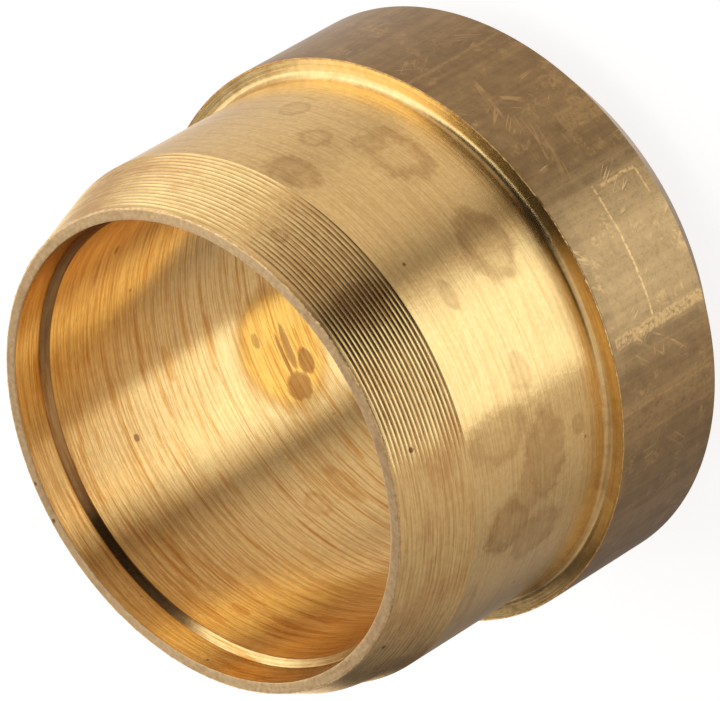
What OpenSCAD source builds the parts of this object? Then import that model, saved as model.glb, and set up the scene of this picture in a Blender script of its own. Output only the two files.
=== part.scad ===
// Brass sealing ring for a compression joint on a 10 mm tube.
// It is turned from one bar: a grooved nose cone, a plain cylinder, a relief
// groove, a raised collar with a chamfered rear edge, and a stepped bore.
// The ring stands on its rear face. The nose points up, along +Z.

/* [Bore] */
// Outer diameter of the tube that slides through the ring
tube_d = 10; // [6:0.5:28]
// Gap between the tube and the bore, all round
tube_clearance = 0.05; // [0.03:0.01:0.15]
// Edge break at the rear end of the bore
bore_break = 0.05; // [0.02:0.01:0.12]
// How far the nose counterbore is cut back from the bore, all round
nose_step = 0.15; // [0.1:0.01:0.25]
// Depth of the straight wall of the nose counterbore
nose_depth = 0.75; // [0.4:0.05:1.5]
// Angle between the counterbore's conical floor and the axis
step_angle = 45; // [30:1:60]

/* [Body] */
// Length of the ring from the rear face to the rim
total_len = 10; // [8:0.1:14]
// Wall of the plain cylinder, outside the bore
body_wall = 0.95; // [0.75:0.05:1.2]

/* [Collar] */
// Height of the shoulder, from the cylinder up to the collar
shoulder_h = 0.45; // [0.3:0.05:0.8]
// Length of the collar from the rear face to the shoulder
collar_len = 4.05; // [2.5:0.05:5]
// Length along the axis of the chamfer on the collar's rear edge
chamfer_len = 1.05; // [0.5:0.05:1.5]
// Depth of that chamfer, from the collar in to the rear face
chamfer_depth = 1; // [0.5:0.05:1.1]

/* [Relief groove] */
// Depth of the relief groove at the foot of the shoulder
relief_depth = 0.03; // [0.02:0.01:0.1]
// Width of the groove's flat floor
relief_floor = 0.12; // [0.05:0.01:0.3]
// Length of the shallow ramp from the floor up to the cylinder
relief_ramp = 0.18; // [0.1:0.01:0.4]

/* [Nose cone] */
// Length of the cone along the axis
cone_len = 1.7; // [1:0.1:2.5]
// Width of the flat rim at the mouth, with its edge break
rim_w = 0.25; // [0.15:0.01:0.35]
// Edge break between the cone and the rim
rim_break = 0.03; // [0.01:0.01:0.06]
// Distance from one turned groove to the next, along the slope
groove_pitch = 0.1; // [0.08:0.01:0.25]
// Depth of each turned groove
groove_depth = 0.012; // [0.005:0.001:0.02]

/* [Hidden] */
$fn = 180;

// Radii, from the bore outwards
bore_r = tube_d / 2 + tube_clearance;
nose_r = bore_r + nose_step;
tip_r = nose_r + rim_w;
body_r = bore_r + body_wall;
floor_r = body_r - relief_depth;
collar_r = body_r + shoulder_h;

// Heights, from the rear face up to the rim
floor_z = collar_len + relief_floor;
ramp_z = floor_z + relief_ramp;
cone_z = total_len - cone_len;
land_z = total_len - nose_depth;
step_z = land_z - nose_step / tan(step_angle);

// The cone's slope in the half section, running from the cylinder to the rim
slope = [tip_r - body_r, cone_len];
slope_len = norm(slope);
along = slope / slope_len;
outward = [along[1], -along[0]];

// A round tool nose leaves each groove as a shallow arc, one pitch wide.
// Its radius follows from the pitch as the chord and the depth as the rise.
tool_r = (pow(groove_pitch / 2, 2) + pow(groove_depth, 2)) / (2 * groove_depth);
groove_count = floor((slope_len - rim_break) / groove_pitch);

// Outline of the wall, cut along the axis, before the nose is grooved
module wall_section() {
    polygon([
        [bore_r + bore_break, 0],
        [collar_r - chamfer_depth, 0],
        [collar_r, chamfer_len],
        [collar_r, collar_len],
        [floor_r, collar_len],
        [floor_r, floor_z],
        [body_r, ramp_z],
        [body_r, cone_z],
        [tip_r, total_len] - rim_break * along,
        [tip_r - rim_break, total_len],
        [nose_r, total_len],
        [nose_r, land_z],
        [bore_r, step_z],
        [bore_r, bore_break]
    ]);
}

// One pass of the tool, with its centre outside the cone
module tool_pass(index) {
    middle = [body_r, cone_z] + (index + 0.5) * groove_pitch * along;
    translate(middle + (tool_r - groove_depth) * outward) circle(r = tool_r, $fn = 90);
}

// Wall section with the row of grooves cut into the cone
module ring_section() {
    difference() {
        wall_section();
        for (index = [0 : groove_count - 1]) tool_pass(index);
    }
}

module sealing_ring() {
    color([0.80, 0.64, 0.38]) rotate_extrude() ring_section();
}

sealing_ring();
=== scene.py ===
# %% [markdown]
# # A turned brass sealing ring
# This lesson dresses one small lathe part: a brass compression ring about
# 13 mm across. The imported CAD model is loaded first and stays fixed. All the
# sizes below are millimetres, and meshes are scaled to metres at the end.

# %% Load the frame
import math
import bpy
import numpy as np
from mathutils import Matrix, Vector


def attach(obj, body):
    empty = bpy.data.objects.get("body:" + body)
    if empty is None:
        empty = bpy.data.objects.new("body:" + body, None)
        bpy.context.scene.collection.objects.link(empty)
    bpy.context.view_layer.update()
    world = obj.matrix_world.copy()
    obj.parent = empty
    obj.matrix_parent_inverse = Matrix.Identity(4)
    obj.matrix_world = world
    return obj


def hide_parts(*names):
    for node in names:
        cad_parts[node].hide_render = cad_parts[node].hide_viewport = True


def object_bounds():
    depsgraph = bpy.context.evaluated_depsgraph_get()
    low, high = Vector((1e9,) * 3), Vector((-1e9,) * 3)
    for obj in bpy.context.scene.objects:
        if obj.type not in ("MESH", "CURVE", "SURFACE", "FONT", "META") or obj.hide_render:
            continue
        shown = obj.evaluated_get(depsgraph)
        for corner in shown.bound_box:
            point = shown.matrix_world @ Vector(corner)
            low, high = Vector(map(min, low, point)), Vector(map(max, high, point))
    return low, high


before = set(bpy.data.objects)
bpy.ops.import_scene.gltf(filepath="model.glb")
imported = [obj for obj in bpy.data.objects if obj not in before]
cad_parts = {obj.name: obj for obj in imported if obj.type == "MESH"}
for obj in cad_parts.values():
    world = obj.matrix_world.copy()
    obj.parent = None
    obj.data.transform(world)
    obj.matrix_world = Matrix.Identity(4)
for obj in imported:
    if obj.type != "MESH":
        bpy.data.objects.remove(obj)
cad_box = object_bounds()
MM = 0.001
print("CAD box in mm:", [[round(v / MM, 3) for v in corner] for corner in cad_box])

# %% [markdown]
# ## The wall of the ring, cut along its axis
# A lathe part is one outline turned about the axis. The outer sizes are read
# off the CAD box, so that the dressed ring can't drift away from it, and the
# rest are the same driving sizes as in the part's source.

# %% Sizes of the turned outline
collar_r = cad_box[1].x / MM
total_len = cad_box[1].z / MM
bore_r = 5.05
body_r = collar_r - 0.45
nose_r = bore_r + 0.15
tip_r = nose_r + 0.25
collar_len = 4.05
cone_z = total_len - 1.7
land_z = total_len - 0.75
step_z = land_z - 0.15
chamfer_len = 1.05
chamfer_depth = 1.0
foot_fillet = 0.18
groove_pitch = 0.1
groove_depth = 0.012
print("collar radius", round(collar_r, 3), "length", round(total_len, 3))


# %% [markdown]
# ## Straight runs, rounded corners and grooves
# Three small functions give every stretch of the outline. A real edge is never
# perfectly sharp: even a few hundredths of a millimetre of rounding catches
# the light, so each corner is a short curve.

# %% Pieces of outline
def run(start, end, count):
    """Points from start towards end, end left out: start plus an equal share of the way each time."""
    share = np.arange(count)[:, None] / count
    return np.array(start) + share * (np.array(end) - np.array(start))


def corner(before, point, after, size, steps=5):
    """A rounded corner: the quadratic curve (1-t)(1-t) a + 2t(1-t) p + t t b, from size before to size after p."""
    before, point, after = (np.array(v, float) for v in (before, point, after))
    a = point + (before - point) / np.linalg.norm(before - point) * size
    b = point + (after - point) / np.linalg.norm(after - point) * size
    t = np.linspace(0, 1, steps)[:, None]
    return (1 - t) ** 2 * a + 2 * t * (1 - t) * point + t ** 2 * b


def fillet(centre, radius, steps=10):
    """A concave quarter circle from straight below its centre to the point level with it, towards the axis."""
    turn = np.radians(270 - 90 * np.arange(steps) / steps)[:, None]
    return np.array(centre) + radius * np.concatenate([np.cos(turn), np.sin(turn)], axis=1)


def grooves(start, end, pitch, depth, steps=8):
    """Scallops along a slope: the straight run less depth * (1 - x x), where x goes from -1 to 1 in each pitch."""
    start, end = np.array(start, float), np.array(end, float)
    length = np.linalg.norm(end - start)
    along = (end - start) / length
    outward = np.array([along[1], -along[0]])
    count = int(length // pitch)
    place = np.arange(count * steps) / steps
    x = 2 * (place % 1) - 1
    return start + place[:, None] * pitch * along - (depth * (1 - x ** 2))[:, None] * outward


# %% [markdown]
# ## The outline, zone by zone
# The outline runs outwards over the rear face, up the outside, over the rim
# and down the bore. Each zone has its own finish: drawn skin on the collar,
# fine turning on the cylinder, coarse grooves on the cone, and so on.

# %% Corners of the outline
rear_in = (bore_r, 0)
rear_out = (collar_r - chamfer_depth, 0)
collar_back = (collar_r, chamfer_len)
collar_front = (collar_r, collar_len)
foot = (body_r, collar_len)
cone_foot = (body_r, cone_z)
tip = (tip_r, total_len)
mouth = (nose_r, total_len)
land_end = (nose_r, land_z)
step_end = (bore_r, step_z)

# %% Put the zones together
zones = [
    ("rear", corner(step_end, rear_in, rear_out, 0.05)),
    ("rear", run((bore_r + 0.06, 0), (rear_out[0] - 0.03, 0), 3)),
    ("collar", corner(rear_in, rear_out, collar_back, 0.03)),
    ("collar", run((rear_out[0] + 0.03, 0.03), (collar_r - 0.03, chamfer_len - 0.03), 8)),
    ("collar", corner(rear_out, collar_back, collar_front, 0.02)),
    ("collar", run((collar_r, chamfer_len + 0.03), (collar_r, collar_len - 0.03), 12)),
    ("collar", corner(collar_back, collar_front, foot, 0.02)),
    ("shoulder", run((collar_r - 0.03, collar_len), (body_r + foot_fillet, collar_len), 6)),
    ("shoulder", fillet((body_r + foot_fillet, collar_len + foot_fillet), foot_fillet)),
    ("cylinder", run((body_r, collar_len + foot_fillet), cone_foot, 16)),
    ("cone", grooves(cone_foot, tip, groove_pitch, groove_depth)),
    ("rim", corner(cone_foot, tip, mouth, 0.03)),
    ("rim", run((tip_r - 0.04, total_len), (nose_r + 0.02, total_len), 4)),
    ("rim", corner(tip, mouth, land_end, 0.012)),
    ("bore", run((nose_r, total_len - 0.02), (nose_r, land_z + 0.02), 6)),
    ("bore", corner(mouth, land_end, step_end, 0.012)),
    ("bore", corner(land_end, step_end, rear_in, 0.02)),
    ("bore", run((bore_r, step_z - 0.03), (bore_r, 0.06), 24)),
]
outline = np.concatenate([points for name, points in zones])
zone_of_ring = np.concatenate([[name] * len(points) for name, points in zones])
print("outline points:", len(outline))


# %% [markdown]
# ## Turn the outline
# The surface is a function of two parameters: the row along the outline and
# the angle round the axis. A UV map keeps both, in millimetres of the unrolled
# wall, so that scratches can be drawn on it. The last column of faces meets
# the first, and so does the last row, so the solid is closed.

# %% Turn and build the mesh
SEGMENTS = 360
UV_SCALE = 0.01


def turned_mesh(name, radius, height):
    """x = -r sin(angle), y = r cos(angle), z = height: a grid of rows by angles, closed both ways."""
    rows, steps = radius.shape
    angle = np.arange(steps) * 2 * np.pi / steps
    points = np.stack([-radius * np.sin(angle), radius * np.cos(angle), height], axis=-1)
    row, step = np.meshgrid(np.arange(rows), np.arange(steps), indexing="ij")
    next_row, next_step = (row + 1) % rows, (step + 1) % steps
    quads = np.stack([row * steps + step, row * steps + next_step,
                      next_row * steps + next_step, next_row * steps + step], axis=-1)
    profile = np.stack([radius.mean(axis=1), height.mean(axis=1)], axis=-1)
    length = np.linalg.norm(np.diff(profile, axis=0, append=profile[:1]), axis=1)
    place = np.concatenate([[0], np.cumsum(length)])
    u = np.stack([step, step + 1, step + 1, step], axis=-1) * 2 * np.pi * body_r / steps
    v = np.stack([place[row], place[row], place[row + 1], place[row + 1]], axis=-1)
    mesh = bpy.data.meshes.new(name)
    mesh.from_pydata(points.reshape(-1, 3) * MM, [], quads.reshape(-1, 4))
    layer = mesh.uv_layers.new(name="unrolled")
    layer.data.foreach_set("uv", (np.stack([u, v], axis=-1) * UV_SCALE).astype(np.float32).ravel())
    mesh.shade_smooth()
    mesh.set_sharp_from_angle(angle=math.radians(35))
    return mesh


def add_piece(name, mesh):
    """A piece of the ring at the origin; it rides on the part's only body."""
    piece = bpy.data.objects.new(name, mesh)
    bpy.context.scene.collection.objects.link(piece)
    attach(piece, "root")
    return piece


SWELLING = 0.10
SWELLING_BEARING = 78
SWELLING_Z = 9.25
bearing = np.arange(SEGMENTS) * 360 / SEGMENTS
outside = (outline[:, 0:1] > tip_r) & (outline[:, 1:2] > cone_z)
swelling = SWELLING * np.exp(-((outline[:, 1:2] - SWELLING_Z) / 0.42) ** 2 - ((bearing - SWELLING_BEARING) / 18) ** 2)
radius = outline[:, 0:1] + swelling * outside
height = outline[:, 1:2] + 0 * radius
ring_mesh = turned_mesh("turned_ring", radius, height)
ring = add_piece("turned_ring", ring_mesh)
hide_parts("sealing_ring")
print("triangles:", 2 * len(ring_mesh.polygons))

# %% [markdown]
# ## Burrs
# Where the tool leaves an edge it drags a little metal along. That burr is a
# thin lip of uneven height. Its height is a sum of waves that all close on
# themselves after one turn, with seeded sizes and phases.

# %% Burrs on the collar and the rim
BURR_STEPS = 1800


def uneven(seed, longest, finest):
    """From 0 to 1 round the ring: a sum of cosines with whole numbers of waves, weaker as they get finer."""
    rng = np.random.default_rng(seed)
    waves = np.arange(longest, finest)
    angle = np.arange(BURR_STEPS) * 2 * np.pi / BURR_STEPS
    sizes = rng.normal(size=len(waves)) / np.sqrt(waves)
    phases = rng.uniform(0, 2 * np.pi, len(waves))
    line = (sizes[:, None] * np.cos(waves[:, None] * angle + phases[:, None])).sum(axis=0)
    return (line - line.min()) / (line.max() - line.min())


def lip(name, profile, height):
    """Each row of the profile is radius, z, and how far r and z go out per unit of the lip's height."""
    rows = np.array(profile)
    return add_piece(name, turned_mesh(name, rows[:, 0:1] + rows[:, 2:3] * height,
                                       rows[:, 1:2] + rows[:, 3:4] * height))


collar_lip = 0.008 + 0.045 * uneven(4, 9, 420) ** 2
rim_lip = 0.004 + 0.035 * uneven(7, 6, 380) ** 2
collar_burr = lip("collar_burr", [
    (collar_r - 0.010, collar_len - 0.04, 0.0, 0.0),
    (collar_r - 0.004, collar_len - 0.01, 0.0, 0.3),
    (collar_r - 0.012, collar_len - 0.003, 0.0, 1.0),
    (collar_r - 0.030, collar_len - 0.003, -0.1, 0.6),
    (collar_r - 0.050, collar_len - 0.02, 0.0, 0.0)], collar_lip)
rim_burr = lip("rim_burr", [
    (tip_r - 0.030, total_len - 0.05, 0.0, 0.0),
    (tip_r - 0.004, total_len - 0.035, 0.5, -0.4),
    (tip_r - 0.004, total_len - 0.012, 1.0, 0.0),
    (tip_r - 0.012, total_len - 0.003, 0.4, 0.0),
    (tip_r - 0.040, total_len - 0.012, 0.0, 0.0)], rim_lip)
print("burr triangles:", [2 * len(piece.data.polygons) for piece in (collar_burr, rim_burr)])


# %% [markdown]
# ## Shader maths as Python
# Materials are node trees. Writing them as sums and products is shorter, so
# one small class wraps a socket, and each operator adds a Math node.

# %% A wire between nodes
class Wire:
    """A socket of a node tree. Operators on it add Math nodes; node() adds any other node."""

    def __init__(self, tree, socket=None):
        self.tree = tree
        self.socket = socket

    def node(self, kind, settings=None, sockets=None, output=0):
        """Adds a node: its settings first, ramp stops among them, then a value or a link for each socket."""
        new = self.tree.nodes.new(kind)
        for key, value in (settings or {}).items():
            if key == "stops":
                ramp = new.color_ramp.elements
                while len(ramp) < len(value):
                    ramp.new(0.5)
                for element, (place, shade) in zip(ramp, value):
                    element.position = place
                    element.color = (*shade, 1)
            else:
                setattr(new, key, value)
        for key, value in (sockets or {}).items():
            if isinstance(value, Wire):
                self.tree.links.new(value.socket, new.inputs[key])
            else:
                new.inputs[key].default_value = value
        return Wire(self.tree, new.outputs[output] if new.outputs else None)

    def math(self, operation, *others, clamp=False):
        """A Math node on this wire and up to two more values."""
        sockets = dict(enumerate((self, *others)))
        return self.node("ShaderNodeMath", {"operation": operation, "use_clamp": clamp}, sockets)

    def __add__(self, other):
        return self.math("ADD", other)

    def __radd__(self, other):
        return self.math("ADD", other)

    def __sub__(self, other):
        return self.math("SUBTRACT", other)

    def __rsub__(self, other):
        return (self * -1) + other

    def __mul__(self, other):
        return self.math("MULTIPLY", other)

    def __rmul__(self, other):
        return self.math("MULTIPLY", other)

    def __truediv__(self, other):
        return self.math("DIVIDE", other)

    def step(self, low, high):
        """0 below low, 1 above high and a smooth rise between; with low above high it falls instead."""
        settings = {"interpolation_type": "SMOOTHSTEP"}
        return self.node("ShaderNodeMapRange", settings, {"Value": self, "From Min": low, "From Max": high})

    def mix(self, first, second):
        """first where this wire is 0, second where it is 1; both are colours."""
        first, second = (value if isinstance(value, Wire) else (*value, 1) for value in (first, second))
        return self.node("ShaderNodeMix", {"data_type": "RGBA"}, {0: self, 6: first, 7: second}, output=2)

    def tinted(self, amount, tint):
        """This colour, multiplied by a tint where amount is 1."""
        settings = {"data_type": "RGBA", "blend_type": "MULTIPLY"}
        return self.node("ShaderNodeMix", settings, {0: amount, 6: self, 7: (*tint, 1)}, output=2)

    def placed(self, stretch, shift=(0, 0, 0), turn=0.0):
        """These coordinates stretched, turned about z and shifted, in that order."""
        sockets = {"Vector": self, "Scale": stretch, "Rotation": (0, 0, turn), "Location": shift}
        return self.node("ShaderNodeMapping", sockets=sockets)

    def noise(self, stretch, detail=2.0, roughness=0.5, shift=(0, 0, 0)):
        """Noise from 0 to 1; stretch is the number of lumps per millimetre along x, y and z."""
        sockets = {"Vector": self.placed(stretch, shift), "Scale": 1.0, "Detail": detail, "Roughness": roughness}
        return self.node("ShaderNodeTexNoise", sockets=sockets)

    def away(self, centre, half_sizes):
        """Distance from a centre, counted in half-sizes of an oval: 1 is its edge."""
        stretch = tuple(1 / size for size in half_sizes)
        shift = tuple(-c / size for c, size in zip(centre, half_sizes))
        local = self.placed(stretch, shift)
        return local.node("ShaderNodeVectorMath", {"operation": "LENGTH"}, {0: local}, output=1)


# %% [markdown]
# ## Light from all round
# A brass part mostly shows its surroundings. The world is a light tent: pale
# all round, with one bright panel, and a dark gap where the camera stands. It
# has three bands, one over the other: below the ring's own level, at its level
# and above it. To the camera itself the background is plain white.

# %% The light tent
world = bpy.data.worlds.new("tent")
bpy.context.scene.world = world
world.use_nodes = True
world.node_tree.nodes.clear()
tent = Wire(world.node_tree)
direction = tent.node("ShaderNodeTexCoord")
split = direction.node("ShaderNodeSeparateXYZ", sockets={0: direction})
east, north, height = (Wire(split.tree, output) for output in split.socket.node.outputs)
# Angle from +Y towards -X, as a share of a turn from 0 to 1, as the UV map of the ring has it
bearing = ((east * -1).math("ARCTAN2", north) / (2 * math.pi) + 1).math("FRACT")
rise = height.math("ARCSINE") * (180 / math.pi)


def wall(stops):
    """Brightness of the tent's wall by bearing, from pairs of degrees and level; level 1 is white."""
    ramp = [(degrees / 360, (level / 2,) * 3) for degrees, level in stops]
    return bearing.node("ShaderNodeValToRGB", {"stops": ramp}, {0: bearing}) * 2


WARM = (1.0, 0.86, 0.77)
low_wall = wall([(0, 0.55), (14, 0.3), (31, 0.14), (50, 0.31), (80, 0.32), (104, 0.5), (128, 0.6), (132, 0.66),
                 (135, 1.6), (150, 1.46), (172, 1.56), (183, 1.35), (200, 0.28), (211, 0.5), (222, 0.67),
                 (250, 0.69), (262, 0.46), (284, 0.66), (330, 0.6), (342, 0.8), (350, 1.25), (360, 0.55)])
middle_wall = wall([(0, 1.8), (22, 1.7), (37, 0.06), (50, 0.11), (80, 0.4), (120, 0.49), (134, 0.45), (146, 0.1),
                    (156, 0.0), (198, 0.02), (211, 0.34), (230, 0.53), (252, 0.82), (270, 0.94),
                    (291, 1.37), (310, 0.63), (321, 0.55), (332, 1.5), (342, 1.8), (360, 1.8)])
high_wall = wall([(0, 0.05), (30, 0.06), (50, 0.52), (76, 0.28), (92, 0.3), (120, 0.64), (140, 0.74),
                  (172, 0.35), (182, 0.02), (246, 0.0), (254, 1.1), (270, 1.7), (290, 1.6), (312, 1.25),
                  (335, 1.52), (350, 0.9), (360, 0.05)])
middle = rise.step(-28, -12)
upper = rise.step(12, 28)
level = low_wall * (1 - middle) + (middle_wall * (1 - upper) + high_wall * upper) * middle
for_camera = tent.node("ShaderNodeLightPath")
white = for_camera.math("MAXIMUM", level.step(0.6, 1.2))
strength = for_camera + (1 - for_camera) * level * (1.12 - 0.12 * white)
glow = tent.node("ShaderNodeBackground", sockets={"Color": white.mix(WARM, (1, 1, 1)), "Strength": strength})
glow.node("ShaderNodeOutputWorld", sockets={0: glow})


# %% [markdown]
# ## Brass, and what happened to it
# Turned brass is a smooth metal with a direction: the lathe leaves fine lines
# round the axis, which smear a reflection along the axis and keep it crisp
# round it. On top come light tarnish, dried drops and small dark specks, and in
# a few places painted highlight, painted reflection and painted shade. The
# helpers below work in millimetres.

# %% Helpers for the finishes
FRESH = (0.98, 0.73, 0.33)
DULL = (0.88, 0.63, 0.26)
TARNISH = (0.68, 0.58, 0.50)
OLD_OIL = (0.80, 0.58, 0.30)


def begin(name):
    """A new, empty material, and a wire with its Object coordinates in millimetres."""
    material = bpy.data.materials.new(name)
    material.use_nodes = True
    material.node_tree.nodes.clear()
    here = Wire(material.node_tree).node("ShaderNodeTexCoord", output=3)
    return material, here.placed((1 / MM,) * 3)


def complete(here, colour, roughness, relief, depth, anisotropy=0.95, coat=0.35):
    """Closes a finish: a metal with a relief so many millimetres deep, under a thin clear film."""
    bump = here.node("ShaderNodeBump", sockets={"Strength": 1.0, "Distance": depth * MM, "Height": relief})
    shader = here.node("ShaderNodeBsdfPrincipled", sockets={
        "Base Color": colour, "Metallic": 1.0, "Roughness": roughness, "Normal": bump,
        "Anisotropic": anisotropy, "Anisotropic Rotation": 0.25,
        "Coat Weight": coat, "Coat Roughness": 0.3})
    shader.node("ShaderNodeOutputMaterial", sockets={0: shader})


def bearing_and_radius(here):
    """The bearing in degrees, 0 at +Y and 90 at -X, and the distance from the axis."""
    parts = here.node("ShaderNodeSeparateXYZ", sockets={0: here})
    x, y, z = (Wire(here.tree, output) for output in parts.socket.node.outputs)
    flat = here.placed((1, 1, 0))
    radius = flat.node("ShaderNodeVectorMath", {"operation": "LENGTH"}, {0: flat}, output=1)
    return x.math("ARCTAN2", y * -1) * (180 / math.pi) + 180, radius, z


def drop(here, fray, radius, bearing, height, wide, tall, strength, hollow):
    """The mark of a dried drop: a frayed oval on a wall, darker towards its edge where hollow is near 1."""
    turn = math.radians(bearing)
    centre = (-radius * math.sin(turn), radius * math.cos(turn), height)
    away = here.away(centre, (wide, wide, tall)) + fray
    return away.step(1.25, 0.85) * (1 - away.step(0.9, 0.4) * hollow) * strength


def most(marks):
    """The strongest of several marks at each place."""
    total = marks[0]
    for mark in marks[1:]:
        total = total.math("MAXIMUM", mark)
    return total


def between(wire, low, high, soft):
    """1 between low and high, falling to 0 over a soft edge on each side."""
    return wire.step(low - soft, low + soft) * wire.step(high + soft, high - soft)


def hairlines(flat, turn, seed):
    """Fine scratches in one direction: where stretched noise passes its middle, in patches."""
    turned = flat.placed((1, 1, 1), turn=turn)
    middle = (turned.noise((0.3, 4.0, 1), 1, shift=(seed, 3 * seed, 0)) - 0.5).math("ABSOLUTE")
    return middle.step(0.03, 0.008) * flat.noise((0.9, 0.9, 1), 2, shift=(7 * seed, seed, 0)).step(0.60, 0.68)


def specks(here, per_mm, size):
    """Small round dark specks, one in a few of the cells of a Voronoi pattern."""
    cells = here.node("ShaderNodeTexVoronoi", sockets={"Vector": here, "Scale": per_mm})
    chosen = Wire(here.tree, cells.socket.node.outputs["Color"])
    chance = chosen.node("ShaderNodeSeparateColor", sockets={0: chosen})
    return cells.step(size * 1.3, size * 0.7) * chance.step(0.80, 0.82)


# %% Plain cylinder
# Each drop: bearing, height, half width, half height, strength, hollowness
CYLINDER_DROPS = {
    "long drop on the left": (125, 6.2, 0.55, 0.75, 0.75, 0.3),
    "lower lobe of the long drop": (131, 7.15, 0.62, 0.68, 0.95, 0.35),
    "broad drop": (142.5, 6.05, 0.98, 0.62, 0.80, 0.25),
    "tail of the broad drop": (138, 6.5, 0.70, 0.35, 0.60, 0.0),
    "speckled drop": (152, 7.35, 0.55, 0.85, 0.50, 0.75),
    "small drop by the shoulder": (145, 4.95, 0.24, 0.18, 0.60, 0.2),
    "smudge by the light": (161.5, 6.3, 0.42, 0.30, 0.45, 0.3),
    "smudge by the cone": (114, 8.0, 0.60, 0.28, 0.50, 0.3),
    "arch by the light": (186.5, 5.55, 0.80, 0.62, 0.75, 0.55),
    "streak in the light": (181.5, 7.15, 0.36, 0.20, 0.55, 0.2),
    "arch on the right": (213, 5.6, 0.85, 0.62, 0.70, 0.85),
    "foot of the right arch": (218.3, 5.75, 0.32, 0.40, 0.55, 0.2),
    "ring spot above": (239, 5.65, 0.32, 0.32, 0.65, 0.75),
    "ring spot": (227, 6.45, 0.36, 0.33, 0.65, 0.65),
    "pointed drop": (221.5, 7.75, 0.60, 0.45, 0.80, 0.25),
}


def turned_brass():
    """The plain cylinder: fine lathe lines, a mottled grain and the marks of dried drops."""
    material, here = begin("turned_brass")
    lines = here.noise((0.6, 0.6, 22), 3, 0.6)
    bands = here.noise((0.2, 0.2, 5), 3)
    grain = here.noise((8, 8, 10), 3, 0.6)
    fray = (here.noise((2.2, 2.2, 2.2), 5, 0.7) - 0.5) * 1.3
    marks = most([drop(here, fray, body_r, *place) for place in CYLINDER_DROPS.values()])
    fade = here.noise((3, 3, 3), 3).step(0.25, 0.6)
    colour = grain.step(0.3, 0.7).mix(DULL, FRESH)
    colour = colour.tinted(lines.step(0.45, 0.62) * 0.55, (0.80, 0.74, 0.66))
    colour = colour.tinted(bands.step(0.5, 0.75) * 0.35, (0.84, 0.78, 0.70))
    colour = colour.tinted(marks * (fade * 0.5 + 0.5), TARNISH)
    colour = colour.tinted(specks(here, 1.6, 0.07), (0.45, 0.38, 0.32))
    roughness = 0.19 + grain * 0.07 + marks * 0.05
    complete(here, colour, roughness, lines * 0.8 + grain * 0.4, 0.006)
    return material


# %% Grooved cone
# Each mark: bearing, height, half width, half height, strength, hollowness. The one by the gap is painted shade, not
# a drop.
CONE_DROPS_AND_SHADE = {
    "ring on the left": (95, 8.95, 0.50, 0.38, 0.60, 0.5),
    "ring on the right": (211.5, 9.25, 0.22, 0.16, 0.70, 0.6),
    "painted shade by the dark gap": (189, 9.0, 0.50, 0.65, 0.60, 0.0),
    "grime in the light": (167, 9.75, 0.25, 0.10, 0.80, 0.0),
}


def grooved_brass():
    """The cone: coarse grooves are in the mesh, so this adds fine dark lines round the axis, grain, patches, tarnish
    marks, specks, and one patch of painted shade by the tent's dark gap.
    """
    material, here = begin("grooved_brass")
    lines = here.noise((0.8, 0.8, 22), 3, 0.65)
    grain = here.noise((6, 6, 10), 3, 0.6)
    fray = (here.noise((2.2, 2.2, 2.2), 4, 0.65) - 0.5) * 1.1
    # Tarnish from the drops and the painted shade by the gap share one mask.
    marks = most([drop(here, fray, 5.75, *place) for place in CONE_DROPS_AND_SHADE.values()])
    patches = here.noise((0.7, 0.7, 1.2), 3)
    colour = grain.step(0.3, 0.7).mix(DULL, FRESH)
    colour = colour.tinted(lines.step(0.45, 0.62) * 0.6, (0.74, 0.62, 0.52))
    colour = colour.tinted(patches.step(0.45, 0.7) * 0.7, (0.84, 0.72, 0.64))
    colour = colour.tinted(marks, TARNISH)
    colour = colour.tinted(specks(here, 1.5, 0.09), (0.35, 0.28, 0.22))
    roughness = 0.20 + grain * 0.08 + marks * 0.05
    complete(here, colour, roughness, lines + grain * 0.4, 0.006, anisotropy=0.9)
    return material


# %% Bore
BORE_DROPS = {
    "frayed ring": (26.4, 4.2, 0.34, 0.30, 0.60, 0.7),
    "flat ring": (25, 3.25, 0.55, 0.24, 0.65, 0.6),
    "orange streak": (-23.5, 5.73, 0.40, 0.10, 0.80, 0.0),
    "thin orange line": (-13, 5.62, 0.95, 0.03, 0.60, 0.0),
    "brown mark": (40.5, 8.06, 0.22, 0.10, 0.80, 0.0),
    "long mark": (-61, 7.84, 0.35, 0.05, 0.80, 0.0),
}
BORE_DOTS = {
    "dark dash on the left": (-65, 7.38, 0.12, 0.05, 1.0, 0.0),
    "dark dot in the light": (-11, 7.22, 0.09, 0.08, 1.0, 0.0),
    "dark dash at the mouth": (3, 9.72, 0.10, 0.07, 1.0, 0.0),
}
# The big golden drop and the dark blots inside it
GOLDEN_DROP = (-12.3, 2.53, 1.30, 1.16)
DARK_BLOTS = {
    "blot on the right": (-1.5, 2.5, 0.34, 0.30, 1.0, 0.0),
    "blot below": (-6.2, 2.0, 0.27, 0.22, 1.0, 0.0),
    "line": (-8.5, 2.53, 0.62, 0.045, 1.0, 0.0),
    "smear under the line": (-11.5, 2.33, 0.48, 0.11, 0.9, 0.0),
    "tick": (-17, 3.12, 0.16, 0.09, 0.7, 0.0),
}


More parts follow.
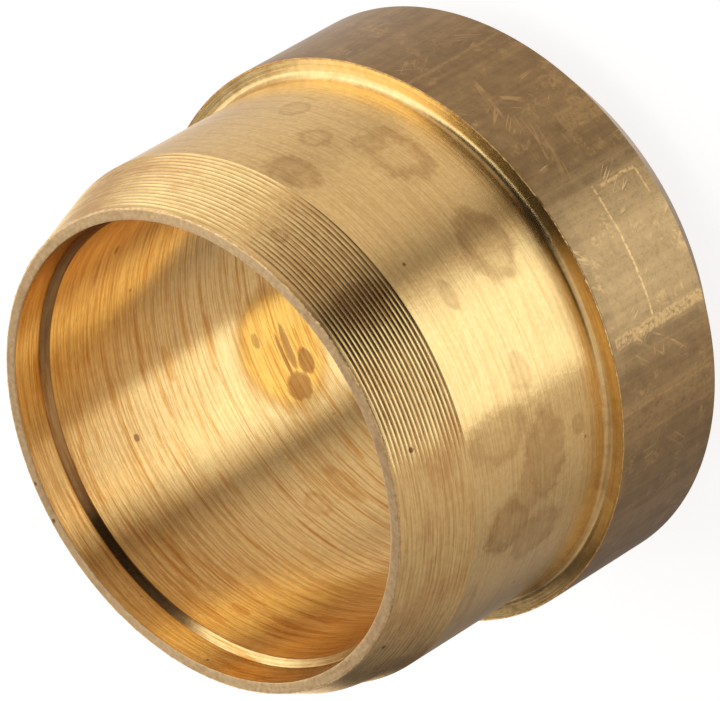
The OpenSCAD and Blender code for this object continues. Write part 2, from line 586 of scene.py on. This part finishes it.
def bore_brass():
    """The bore: strong lines round the axis, orange-brown dashes, one big golden drop with a dark edge, and painted
    shade on one side of the step.
    """
    material, here = begin("bore_brass")
    lines = here.noise((0.5, 0.5, 20), 3, 0.6)
    dashes = here.noise((0.55, 0.55, 8), 3, 0.6)
    grain = here.noise((6, 6, 9), 3, 0.6)
    fray = (here.noise((1.6, 1.6, 6.5), 4, 0.7) - 0.5) * 1.2
    marks = most([drop(here, fray, bore_r, *place) for place in BORE_DROPS.values()])
    bearing, height, wide, tall = GOLDEN_DROP
    golden = drop(here, fray * 0.3, bore_r, bearing, height, wide, tall, 1.0, 0.0)
    edge = golden * (1 - drop(here, fray * 0.5, bore_r, bearing, height, wide * 0.93, tall * 0.93, 1.0, 0.0))
    blots = most([drop(here, fray, bore_r, *place) for place in [*DARK_BLOTS.values(), *BORE_DOTS.values()]])
    colour = grain.step(0.3, 0.7).mix(DULL, FRESH)
    colour = colour.tinted(lines.step(0.45, 0.62) * 0.8, (0.76, 0.64, 0.50))
    colour = colour.tinted(dashes.step(0.53, 0.66) * 0.8, OLD_OIL)
    colour = colour.tinted(marks, (0.80, 0.62, 0.38))
    colour = colour.tinted(golden, (0.92, 0.76, 0.38))
    colour = colour.tinted((edge * 0.9).math("MAXIMUM", blots), (0.50, 0.40, 0.38))
    colour = colour.tinted(specks(here, 1.6, 0.06), (0.50, 0.40, 0.30))
    bearing_out, radius, z = bearing_and_radius(here)
    # Painted shade: the step into the counterbore is darkened on one side, chosen by bearing.
    shaded_side_of_step = bearing_out.step(210, 225) + bearing_out.step(42, 30)
    on_step = between(z, step_z - 0.01, land_z + 0.02, 0.015)
    colour = colour.tinted(on_step * shaded_side_of_step * 0.9, (0.42, 0.32, 0.26))
    roughness = 0.19 + grain * 0.07
    complete(here, colour, roughness, lines * 0.8 + dashes * 0.5 + grain * 0.3, 0.005)
    return material


# %% Drawn skin of the collar
SKIN_DARK = (0.30, 0.20, 0.09)
SKIN_LIGHT = (0.44, 0.30, 0.14)
BARE_BRASS_AND_SHEEN = (0.88, 0.60, 0.26)
# Pale strips along the axis, some bare brass, some painted highlight and some painted reflection, as each key says:
# from one bearing to another, from one height to another, and strength
BARE_AND_SHEEN_STRIPS = {
    # Painted reflection: the pale strip and its thin line stand in for the tent mirrored in flat spots.
    "painted reflection strip": (137.5, 145.5, 0.9, 4.1, 0.22),
    "thin painted reflection line": (143.6, 144.2, 0.9, 4.1, 0.45),
    # Painted highlight: the crisp edge and the zone where the tent's bright panel shows.
    "painted highlight edge": (156.6, 159.0, 0.9, 3.9, 0.55),
    "painted highlight zone": (159, 186, 0.9, 3.7, 0.15),
    "line round the axis in the highlight zone": (159, 185.5, 2.60, 2.66, 0.75),
    "scratch along the axis": (184.6, 185.3, 1.35, 2.5, 0.75),
    "scratch across": (179.5, 185, 1.30, 1.36, 0.75),
    "patch on the right": (196.5, 201, 0.9, 2.2, 0.28),
    "thin line on the right": (222.5, 223.2, 0.9, 4.1, 0.30),
}


def drawn_skin():
    """The collar keeps the dull skin of the drawn bar, with streaks along the axis, scratches down to brass, and pale
    strips of painted highlight and painted reflection.
    """
    material, here = begin("drawn_skin")
    bearing, radius, z = bearing_and_radius(here)
    flat = here.node("ShaderNodeUVMap", {"uv_map": "unrolled"}).placed((1 / UV_SCALE,) * 3)
    streaks = flat.noise((5, 0.16, 1), 3, 0.6)
    mottle = here.noise((2.2, 2.2, 2.2), 5, 0.65)
    grain = here.noise((11, 11, 11), 3, 0.6)
    scratches = most([hairlines(flat, turn, seed) for turn, seed in ((1.45, 1), (1.0, 2), (2.2, 3), (0.25, 4))])
    sway = (mottle - 0.5) * 0.8
    # Painted highlight and painted reflection strips go in together with real scratches down to bare brass.
    strips_and_sheen = most([between(bearing + sway * 2.0, left, right, 0.35) * between(z + sway * 0.05, low, high, 0.02)
                   * strength for left, right, low, high, strength in BARE_AND_SHEEN_STRIPS.values()])
    rubbed = here.noise((1.3, 1.3, 1.3), 6, 0.7).step(0.50, 0.66) * grain.step(0.4, 0.62) * 0.4
    bare_and_sheen = most([strips_and_sheen * grain.step(0.3, 0.6), scratches * 0.35, rubbed])
    colour = (streaks.step(0.35, 0.65) * 0.5 + mottle.step(0.35, 0.65) * 0.5).mix(SKIN_DARK, SKIN_LIGHT)
    colour = colour.tinted(grain.step(0.5, 0.75) * 0.5, (0.72, 0.68, 0.62))
    colour = bare_and_sheen.mix(colour, BARE_BRASS_AND_SHEEN)
    roughness = 0.30 + mottle * 0.10 - scratches * 0.05
    relief = streaks * 0.5 + mottle * 0.4 + grain * 0.25 - scratches * 0.3
    complete(here, colour, roughness, relief, 0.010, anisotropy=0.0, coat=0.25)
    return material


# %% Faced surfaces and edges
def faced_brass(name, roughness, dirt, anisotropy=0.9):
    """A face cut square to the axis: fine rings round it, some dirt and grain."""
    material, here = begin(name)
    bearing, radius, z = bearing_and_radius(here)
    place = here.node("ShaderNodeCombineXYZ", sockets={0: radius, 1: bearing * 0.03, 2: z})
    rings = place.noise((18, 1, 4), 3, 0.6)
    grain = here.noise((7, 7, 7), 3, 0.6)
    stains = here.noise((1.3, 1.3, 1.3), 4, 0.6)
    colour = grain.step(0.3, 0.7).mix(DULL, FRESH)
    colour = colour.tinted(rings.step(0.42, 0.66) * 0.5, (0.72, 0.62, 0.50))
    colour = colour.tinted(stains.step(0.48, 0.66) * dirt, TARNISH)
    complete(here, colour, roughness + grain * 0.08, rings + grain * 0.5, 0.006, anisotropy)
    return material


def rim_brass():
    """The rim's narrow face: matt, rubbed and pinkish, with dark specks."""
    material, here = begin("rim_brass")
    grain = here.noise((9, 9, 9), 4, 0.65)
    stains = here.noise((1.1, 1.1, 1.1), 3, 0.6)
    colour = grain.step(0.3, 0.7).mix((0.72, 0.49, 0.24), (0.88, 0.63, 0.34))
    colour = colour.tinted(stains.step(0.5, 0.7) * 0.6, (0.78, 0.68, 0.62))
    colour = colour.tinted(specks(here, 2.4, 0.12), (0.35, 0.28, 0.22))
    complete(here, colour, 0.36 + grain * 0.1, grain, 0.010, anisotropy=0.5)
    return material


def burr_brass():
    """A burr is torn metal: bright, rough and uneven."""
    material, here = begin("burr_brass")
    grain = here.noise((9, 9, 9), 4, 0.65)
    colour = grain.step(0.35, 0.65).mix((0.62, 0.40, 0.16), (1.0, 0.70, 0.32))
    complete(here, colour, 0.34 + grain * 0.1, grain, 0.012, anisotropy=0.0)
    return material


# %% Give each zone its finish
FINISHES = {
    "rear": faced_brass("rear_brass", 0.26, 0.4),
    "collar": drawn_skin(),
    "shoulder": faced_brass("shoulder_brass", 0.20, 0.5),
    "cylinder": turned_brass(),
    "cone": grooved_brass(),
    "rim": rim_brass(),
    "bore": bore_brass(),
}
for finish in FINISHES.values():
    ring_mesh.materials.append(finish)
slot_of = {name: number for number, name in enumerate(FINISHES)}
ring_slots = np.array([slot_of[name] for name in zone_of_ring])
ring_mesh.polygons.foreach_set("material_index", np.repeat(ring_slots, SEGMENTS).astype(np.int32))
torn = burr_brass()
for burr in (collar_burr, rim_burr):
    burr.data.materials.append(torn)
print("finishes:", list(FINISHES), torn.name)

# %% [markdown]
# ## Floor
# The floor is white to the camera and keeps the ring's shadow. The metal
# doesn't mirror it: it shows the tent there, as a ring held up on glass does.

# %% Floor
FLOOR_HALF = 400
floor_mesh = bpy.data.meshes.new("floor")
floor_mesh.from_pydata(
    [(x * FLOOR_HALF * MM, y * FLOOR_HALF * MM, -0.01 * MM) for x, y in ((-1, -1), (1, -1), (1, 1), (-1, 1))],
    [], [(0, 1, 2, 3)])
floor = bpy.data.objects.new("floor", floor_mesh)
bpy.context.scene.collection.objects.link(floor)
floor.visible_glossy = False
floor_material = bpy.data.materials.new("pale_floor")
floor_material.use_nodes = True
floor_material.node_tree.nodes.clear()
pale = Wire(floor_material.node_tree)
matt = pale.node("ShaderNodeBsdfDiffuse", sockets={"Color": (0.35, 0.35, 0.35, 1)})
lift = pale.node("ShaderNodeLightPath") * 0.85
white = pale.node("ShaderNodeEmission", sockets={"Color": (1, 1, 1, 1), "Strength": lift})
both = pale.node("ShaderNodeAddShader", sockets={0: matt, 1: white})
both.node("ShaderNodeOutputMaterial", sockets={0: both})
floor_mesh.materials.append(floor_material)

# %% [markdown]
# ## Camera
# The photograph was taken from far away with a long lens, from 40 degrees
# above the floor, and then turned, so that the nose points down to the left.

# %% Camera
ELEVATION = math.radians(40.56)
ROLL = math.radians(120.58)
AIM = Vector((0.145, -0.088, 4.898)) * MM
DISTANCE = 168.35 * MM
SENSOR = 36.0
FRAME_WIDTH = 720
FOCAL_PIXELS = 8000
forward = Vector((0, math.cos(ELEVATION), -math.sin(ELEVATION)))
right = Vector((1, 0, 0))
up = right.cross(forward)
camera_up = up * math.cos(ROLL) + right * math.sin(ROLL)
camera_right = forward.cross(camera_up)
camera_data = bpy.data.cameras.new("camera")
camera_data.sensor_width = SENSOR
camera_data.lens = FOCAL_PIXELS / FRAME_WIDTH * SENSOR
camera_data.clip_start = 10 * MM
camera_data.clip_end = 2000 * MM
camera = bpy.data.objects.new("camera", camera_data)
axes = Matrix((camera_right, camera_up, -forward)).transposed()
camera.matrix_world = Matrix.Translation(AIM - forward * DISTANCE) @ axes.to_4x4()
bpy.context.scene.collection.objects.link(camera)
bpy.context.scene.camera = camera
bpy.context.scene.view_settings.view_transform = "Standard"
